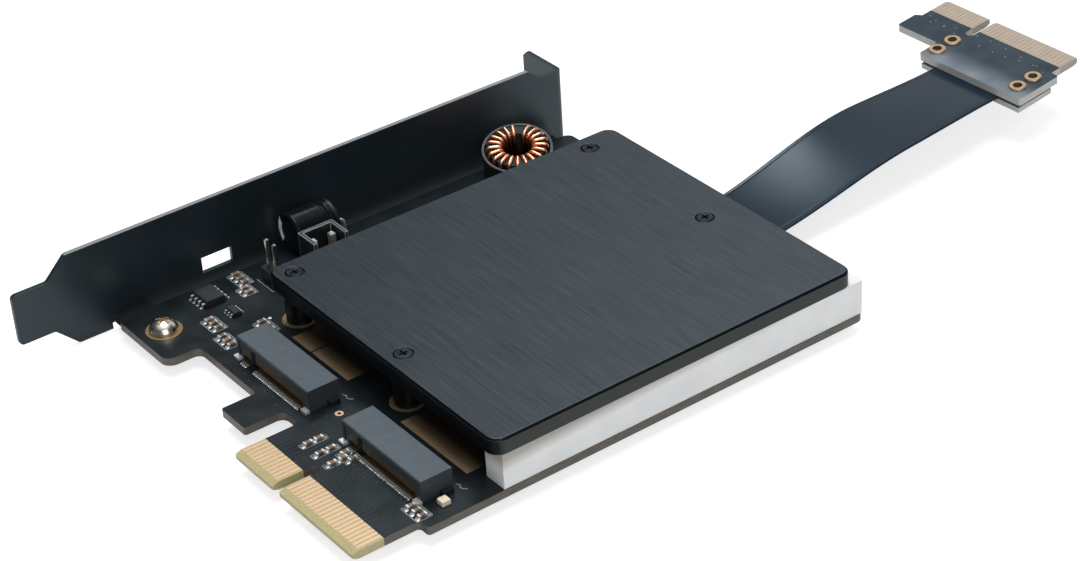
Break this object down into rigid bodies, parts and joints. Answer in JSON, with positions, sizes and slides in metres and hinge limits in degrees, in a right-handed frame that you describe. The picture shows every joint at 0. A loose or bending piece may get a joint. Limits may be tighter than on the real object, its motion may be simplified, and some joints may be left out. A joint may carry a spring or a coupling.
{
  "type": "nvme adapter card",
  "caption": "Plug-in adapter card that carries stick drives under a brushed cover plate, with a slot bracket, an edge connector and a ribbon to another edge plug.",
  "frame": {"origin": "middle of the edge connector's key slot, at the contact tips, halfway through the board", "axes": "+X along the connector away from the bracket, +Y from the contact tips into the card, +Z out of the component side"},
  "size_m": [0.1012, 0.2036, 0.0185],
  "materials": {
    "board_mask": "satin solder mask",
    "plug_mask": "satin solder mask",
    "gold": "thin gold plating",
    "bracket_black": "black powder coat",
    "screw_steel": "plated",
    "cover_grey": "brushed and anodised dark grey",
    "spacer_metal": "plated",
    "bar_milky": "milky",
    "led_body": "gloss",
    "socket_grey": "matte",
    "tin": "tinned",
    "core_dark": "matte",
    "copper": "enamelled wire",
    "ring_grey": "matte",
    "can_metal": "satin",
    "sleeve_dark": "gloss",
    "header_black": "matte",
    "chip_black": "matte",
    "chip_tan": "matte",
    "ribbon_black": "gloss film",
    "eyelet_brass": "bright"
  },
  "bodies": {
    "root": {"main_board": "board_mask", "edge_contacts": "gold", "slot_bracket": "bracket_black", "bracket_screws": "screw_steel", "bracket_pads": "gold", "cover_plate": "cover_grey", "cover_screws": "screw_steel", "cover_spacers": "spacer_metal", "spacer_pads": "gold", "light_bar": "bar_milky", "bar_leds": "led_body", "drive_socket_left": "socket_grey", "drive_socket_right": "socket_grey", "socket_contacts_left": "tin", "socket_contacts_right": "tin", "socket_hold_downs": "tin", "drive_posts": "spacer_metal", "heat_pads": "gold", "choke_core": "core_dark", "choke_winding": "copper", "choke_ring": "ring_grey", "capacitor_can": "can_metal", "capacitor_sleeve": "sleeve_dark", "capacitor_leads": "tin", "pin_header": "header_black", "header_pins": "gold", "shrouded_header": "header_black", "shroud_pins": "tin", "solder_joints": "tin", "driver_chip": "chip_black", "driver_leads": "tin", "switch_chip": "chip_black", "switch_leads": "tin", "small_chips": "chip_tan", "chip_ends": "tin", "status_light": "led_body", "test_ring": "gold", "plug_board": "plug_mask", "plug_contacts": "gold", "clamp_board": "plug_mask", "plug_eyelets": "eyelet_brass", "ribbon_cable": "ribbon_black"}
  },
  "joints": []
}
